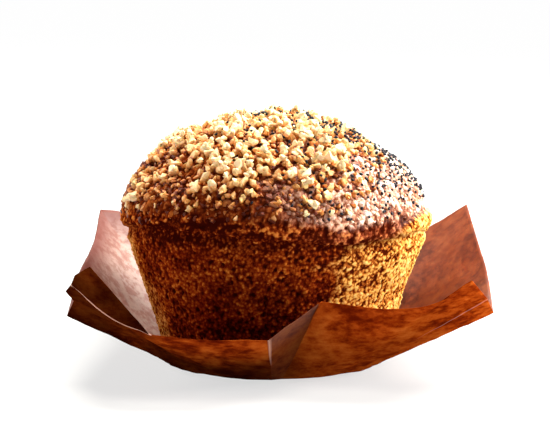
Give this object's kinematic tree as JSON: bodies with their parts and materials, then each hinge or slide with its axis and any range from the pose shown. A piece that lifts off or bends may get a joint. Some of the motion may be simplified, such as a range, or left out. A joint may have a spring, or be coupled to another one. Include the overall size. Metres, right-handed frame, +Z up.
{
  "type": "muffin",
  "caption": "Domed muffin with a crumble and poppy seed topping, standing in an opened-out square paper tulip wrapper.",
  "frame": {"origin": "centre of the wrapper's flat round base, on its underside", "axes": "+Z up along the muffin's axis; +X to the right and -Y towards the viewer, in the view that shows the wrapper's front pleat"},
  "size_m": [0.1188, 0.1211, 0.0732],
  "materials": {
    "paper": "brown greaseproof paper, faint satin sheen, fibrous mottling",
    "crust": "porous baked sponge, golden to dark caramel brown",
    "crumble": "cream to golden sugary crumbs",
    "poppy_seed": "blue-black seeds, matt"
  },
  "bodies": {
    "root": {"tulip_wrapper": "paper", "muffin": "crust", "crumb_01": "crumble", "crumb_02": "crumble", "crumb_03": "crumble", "crumb_04": "crumble", "crumb_05": "crumble", "crumb_06": "crumble", "crumb_07": "crumble", "crumb_08": "crumble", "crumb_09": "crumble", "crumb_10": "crumble", "crumb_11": "crumble", "crumb_12": "crumble", "crumb_13": "crumble", "crumb_14": "crumble", "crumb_15": "crumble", "crumb_16": "crumble", "crumb_17": "crumble", "crumb_18": "crumble", "crumb_19": "crumble", "crumb_20": "crumble", "crumb_21": "crumble", "crumb_22": "crumble", "crumb_23": "crumble", "crumb_24": "crumble", "crumb_25": "crumble", "crumb_26": "crumble", "crumb_27": "crumble", "crumb_28": "crumble", "crumb_29": "crumble", "crumb_30": "crumble", "crumb_31": "crumble", "crumb_32": "crumble", "crumb_33": "crumble", "crumb_34": "crumble", "crumb_35": "crumble", "crumb_36": "crumble", "crumb_37": "crumble", "crumb_38": "crumble", "crumb_39": "crumble", "crumb_40": "crumble", "crumb_41": "crumble", "crumb_42": "crumble", "crumb_43": "crumble", "crumb_44": "crumble", "poppy_seed_01": "poppy_seed", "poppy_seed_02": "poppy_seed", "poppy_seed_03": "poppy_seed", "poppy_seed_04": "poppy_seed", "poppy_seed_05": "poppy_seed", "poppy_seed_06": "poppy_seed", "poppy_seed_07": "poppy_seed", "poppy_seed_08": "poppy_seed", "poppy_seed_09": "poppy_seed", "poppy_seed_10": "poppy_seed", "poppy_seed_11": "poppy_seed", "poppy_seed_12": "poppy_seed", "poppy_seed_13": "poppy_seed", "poppy_seed_14": "poppy_seed"}
  },
  "joints": []
}
